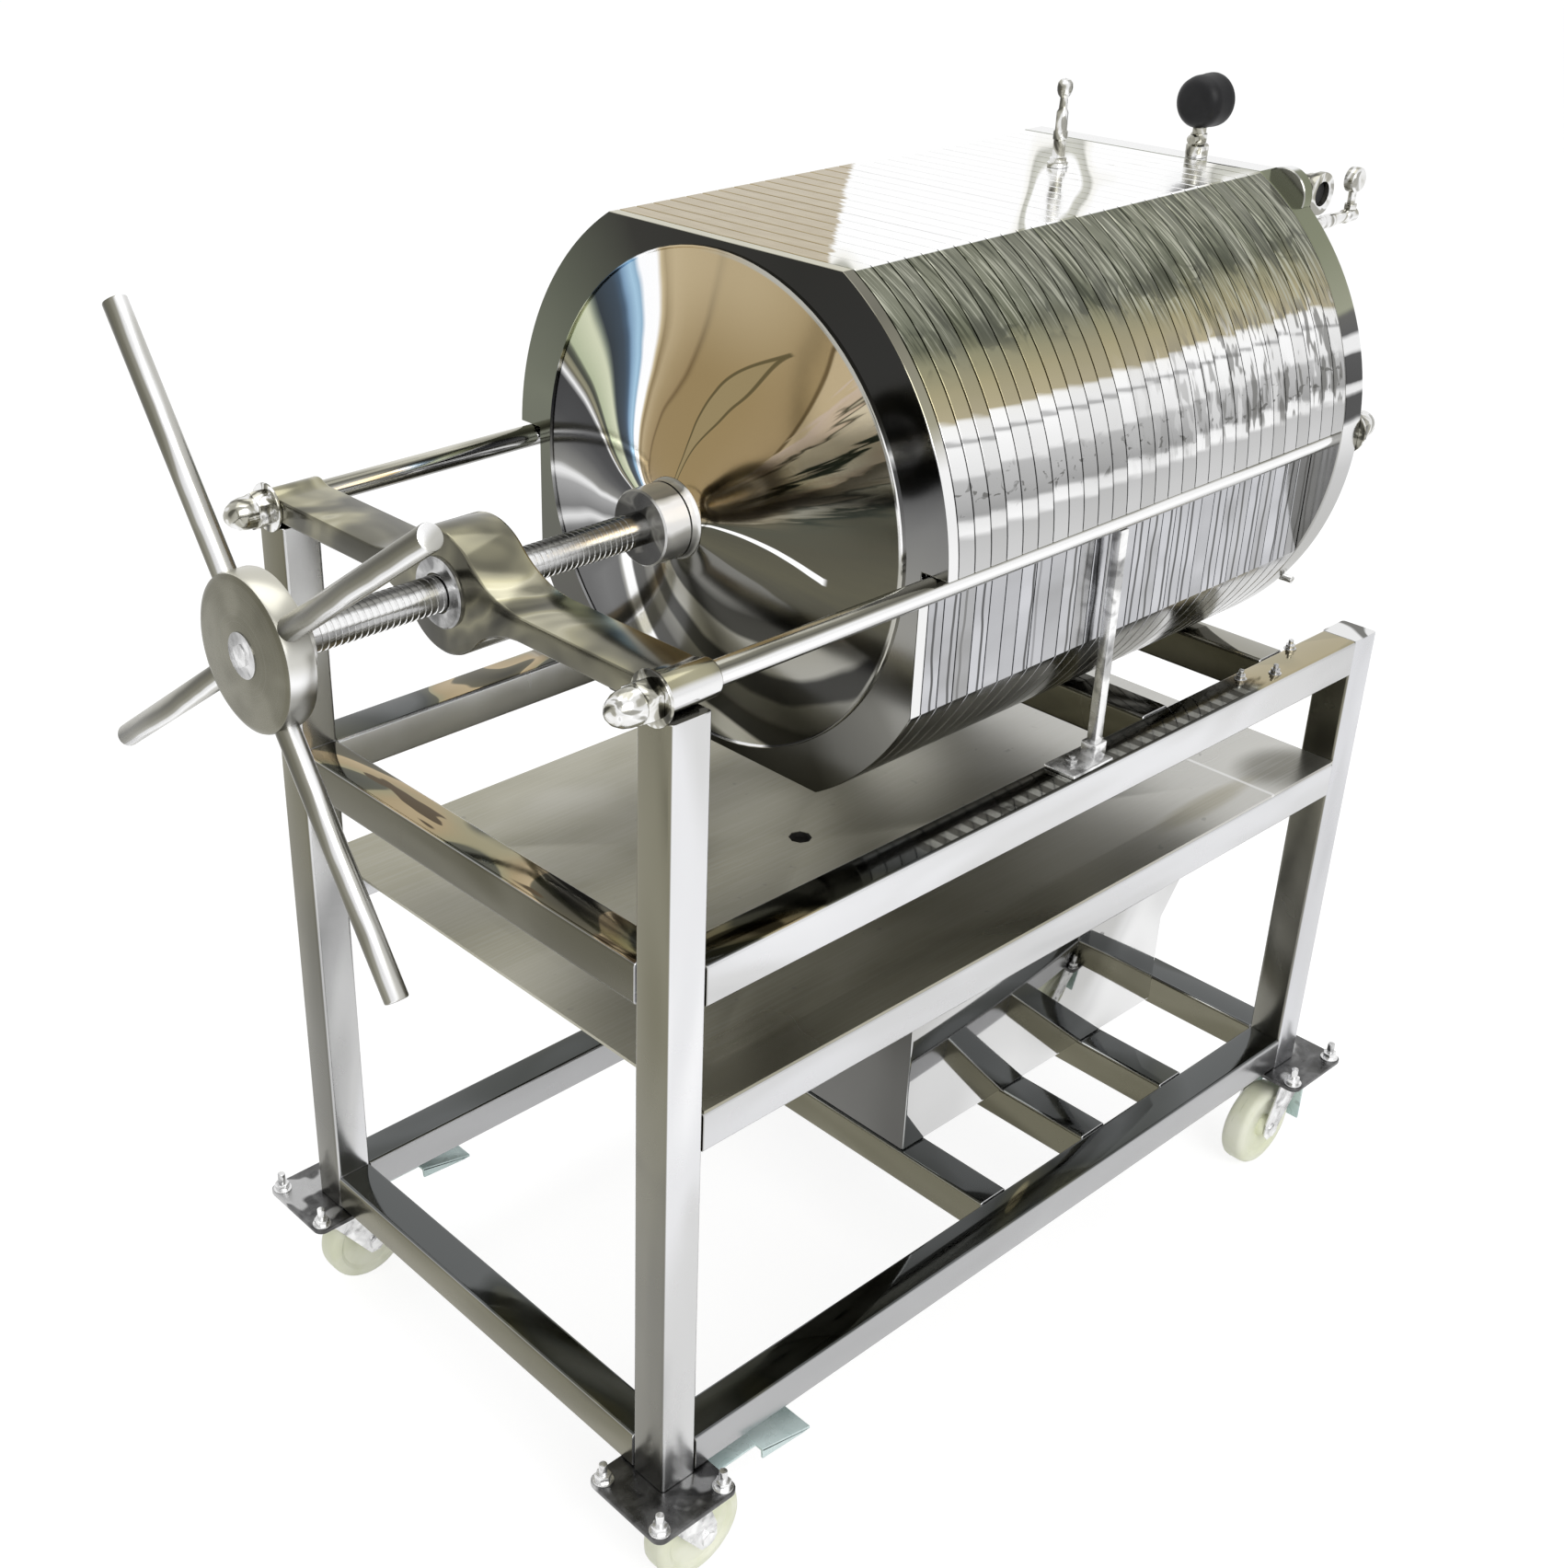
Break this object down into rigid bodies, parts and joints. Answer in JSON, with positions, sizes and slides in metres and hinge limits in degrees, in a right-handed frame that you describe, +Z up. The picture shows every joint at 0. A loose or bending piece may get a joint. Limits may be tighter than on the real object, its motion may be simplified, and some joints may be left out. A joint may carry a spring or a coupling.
{
  "type": "plate filter press",
  "caption": "Stainless plate filter press: round plates on two tie bars, squeezed by a screw with a spoked hand wheel, on a square-tube trolley with a drip tray.",
  "frame": {"origin": "middle of the press's bounding box, on the floor", "axes": "+X along the press from the hand wheel to the rear head, +Y across it, +Z up"},
  "size_m": [1.226, 0.628, 1.2203],
  "materials": {
    "polished_steel": "polished stainless steel",
    "brushed_tube": "bright satin stainless tube",
    "satin_sheet": "satin stainless sheet",
    "zinc_steel": "zinc plated",
    "nylon": "cream nylon",
    "black_plastic": "glossy black"
  },
  "bodies": {
    "press": {"post_front_near": "brushed_tube", "post_front_far": "brushed_tube", "post_rear_near": "brushed_tube", "post_rear_far": "brushed_tube", "bottom_rail_near": "brushed_tube", "bottom_rail_far": "brushed_tube", "tray_rail_near": "brushed_tube", "tray_rail_far": "brushed_tube", "upper_rail_near": "brushed_tube", "upper_rail_far": "brushed_tube", "bottom_end_rail_front": "brushed_tube", "bottom_end_rail_rear": "brushed_tube", "upper_end_rail": "brushed_tube", "lower_bearer_1": "brushed_tube", "lower_bearer_2": "brushed_tube", "lower_bearer_3": "brushed_tube", "upper_bearer_1": "brushed_tube", "upper_bearer_2": "brushed_tube", "drip_tray": "satin_sheet", "lower_cabinet": "polished_steel", "tie_bar_near": "polished_steel", "tie_bar_far": "polished_steel", "crossbeam": "polished_steel", "plate_pack_1": "polished_steel", "plate_pack_2": "polished_steel", "plate_pack_3": "polished_steel", "plate_pack_4": "polished_steel", "rear_head": "polished_steel", "rear_foot_near": "zinc_steel", "rear_foot_far": "zinc_steel", "outlet_elbow": "polished_steel", "outlet_cock": "polished_steel", "drain_cock": "polished_steel", "gauge": "black_plastic", "vent_valve": "polished_steel", "leg_near": "zinc_steel", "leg_far": "zinc_steel", "caster_plate_front_near": "zinc_steel", "caster_plate_front_far": "zinc_steel", "caster_plate_rear_near": "zinc_steel", "caster_plate_rear_far": "zinc_steel"},
    "pressing_head": {"moving_head": "polished_steel"},
    "spindle": {"screw": "polished_steel", "hub": "polished_steel", "spoke_1": "polished_steel", "spoke_2": "polished_steel", "spoke_3": "polished_steel", "spoke_4": "polished_steel"},
    "caster_front_near": {"fork_front_near": "zinc_steel"},
    "caster_front_far": {"fork_front_far": "zinc_steel"},
    "caster_rear_near": {"fork_rear_near": "zinc_steel"},
    "caster_rear_far": {"fork_rear_far": "zinc_steel"},
    "roller_front_near": {"wheel_front_near": "nylon"},
    "roller_front_far": {"wheel_front_far": "nylon"},
    "roller_rear_near": {"wheel_rear_near": "nylon"},
    "roller_rear_far": {"wheel_rear_far": "nylon"}
  },
  "joints": [
    {"name": "head_slide", "type": "slide", "parent": "press", "child": "pressing_head", "axis": [1, 0, 0], "range_m": [-0.13, 0]},
    {"name": "screw_turn", "type": "hinge", "parent": "pressing_head", "child": "spindle", "pos_m": [-0.13, 0, 0.909], "axis": [1, 0, 0], "range_deg": [-7800, 0]},
    {"name": "swivel_front_near", "type": "hinge", "parent": "press", "child": "caster_front_near", "pos_m": [-0.418, -0.265, 0.1], "axis": [0, 0, 1], "continuous": true},
    {"name": "swivel_front_far", "type": "hinge", "parent": "press", "child": "caster_front_far", "pos_m": [-0.418, 0.265, 0.1], "axis": [0, 0, 1], "continuous": true},
    {"name": "swivel_rear_near", "type": "hinge", "parent": "press", "child": "caster_rear_near", "pos_m": [0.564, -0.265, 0.1], "axis": [0, 0, 1], "continuous": true},
    {"name": "swivel_rear_far", "type": "hinge", "parent": "press", "child": "caster_rear_far", "pos_m": [0.564, 0.265, 0.1], "axis": [0, 0, 1], "continuous": true},
    {"name": "roll_front_near", "type": "hinge", "parent": "caster_front_near", "child": "roller_front_near", "pos_m": [-0.382, -0.265, 0.05], "axis": [0, 1, 0], "continuous": true},
    {"name": "roll_front_far", "type": "hinge", "parent": "caster_front_far", "child": "roller_front_far", "pos_m": [-0.382, 0.265, 0.05], "axis": [0, 1, 0], "continuous": true},
    {"name": "roll_rear_near", "type": "hinge", "parent": "caster_rear_near", "child": "roller_rear_near", "pos_m": [0.528, -0.265, 0.05], "axis": [0, 1, 0], "continuous": true},
    {"name": "roll_rear_far", "type": "hinge", "parent": "caster_rear_far", "child": "roller_rear_far", "pos_m": [0.528, 0.265, 0.05], "axis": [0, 1, 0], "continuous": true}
  ],
  "couplings": [
    {"joint": "head_slide", "follows": "screw_turn", "m_per_rad": 0.00095493}
  ]
}
